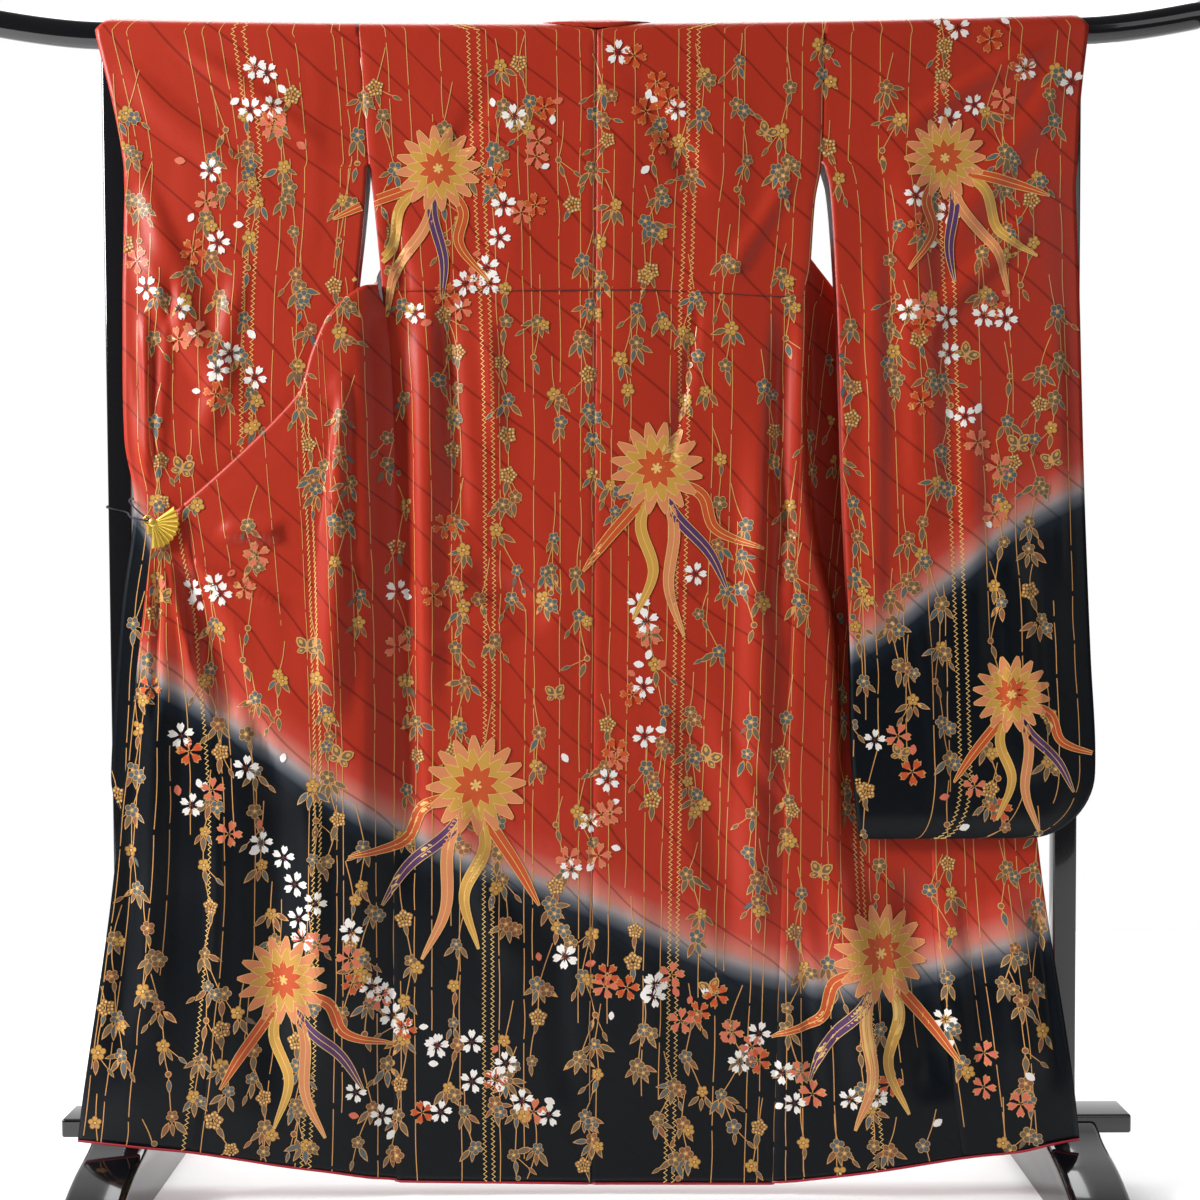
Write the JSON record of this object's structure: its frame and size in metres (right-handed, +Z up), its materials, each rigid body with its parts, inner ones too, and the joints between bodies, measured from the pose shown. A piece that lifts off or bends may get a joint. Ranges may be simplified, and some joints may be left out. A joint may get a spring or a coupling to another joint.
{
  "type": "furisode kimono on a display stand",
  "caption": "Long-sleeved silk kimono hung open over the rod of a black lacquered stand, back to the viewer, its fronts spread to the sides and held by a small fan-shaped clip.",
  "frame": {"origin": "on the floor, below the middle of the rod, midway between the feet", "axes": "+Z up; +X along the rod, to the right of a viewer who faces the garment's back; +Y away from that viewer"},
  "size_m": [1.6534, 0.444, 1.6088],
  "materials": {
    "red_silk": "red satin silk, shading to navy below, with printed and gold pattern",
    "navy_silk": "navy satin silk with printed and gold pattern",
    "scarlet_lining": "scarlet silk",
    "black_lacquer": "mirror-gloss black lacquer on wood",
    "polished_gold": "polished gold-coloured metal",
    "plum_cord": "twisted dark plum cord"
  },
  "bodies": {
    "root": {"body_left": "red_silk", "body_right": "red_silk", "okumi_left": "navy_silk", "okumi_right": "navy_silk", "sleeve_left": "red_silk", "sleeve_right": "red_silk", "collar": "red_silk", "hem_lining_edge": "scarlet_lining", "clip_fan": "polished_gold", "clip_ring": "polished_gold", "clip_jaw": "polished_gold", "tie_cord": "plum_cord", "rod": "black_lacquer", "post_left": "black_lacquer", "post_right": "black_lacquer", "crossbar": "black_lacquer", "foot_left": "black_lacquer", "foot_right": "black_lacquer"}
  },
  "joints": []
}
